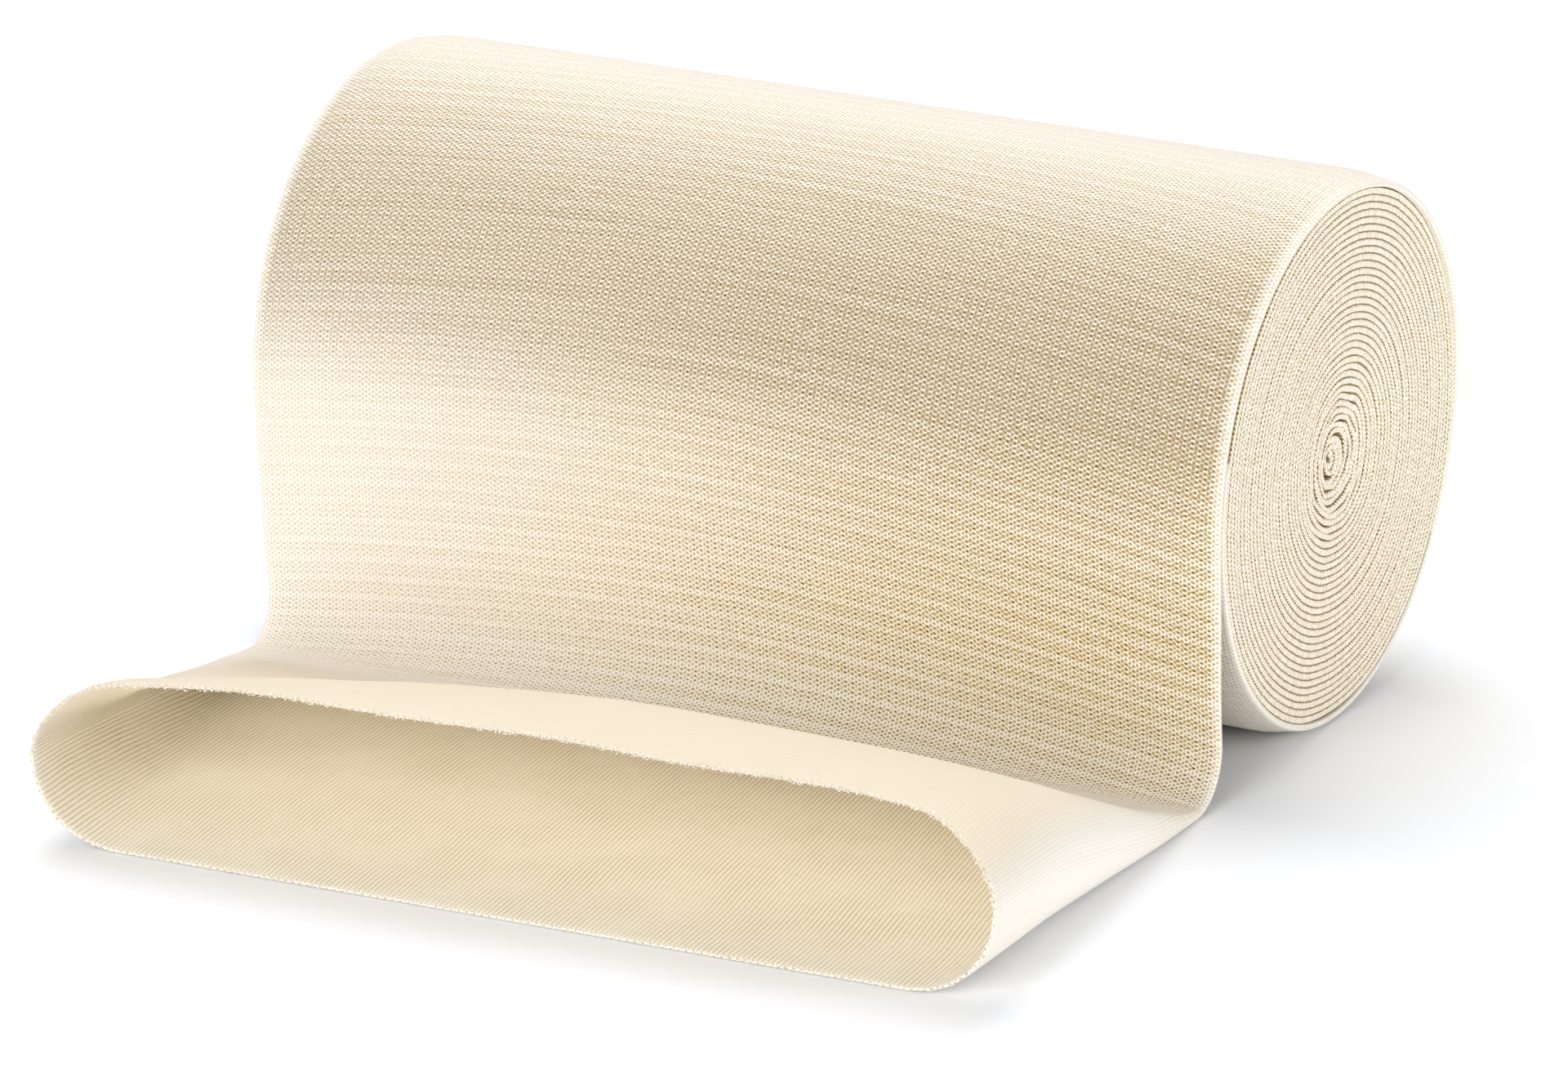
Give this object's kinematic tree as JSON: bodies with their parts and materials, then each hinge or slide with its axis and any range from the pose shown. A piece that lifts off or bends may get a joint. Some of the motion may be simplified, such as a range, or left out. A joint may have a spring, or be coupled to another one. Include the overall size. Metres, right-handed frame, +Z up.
{
  "type": "elastic tubular bandage roll",
  "caption": "Roll of cream knitted elastic tubular bandage, its loose end hanging over the front, laid forward and standing open at the cut mouth.",
  "frame": {"origin": "on the surface that the part rests on, under the middle of the roll, at the middle of its flat spot", "axes": "+X along the roll towards the end face that shows, -Y the way the loose end runs, +Z up"},
  "size_m": [0.337, 0.3456, 0.1658],
  "materials": {
    "knit": "matt cream rib-free knit of cotton and covered elastic yarn"
  },
  "bodies": {
    "root": {"bandage": "knit"}
  },
  "joints": []
}
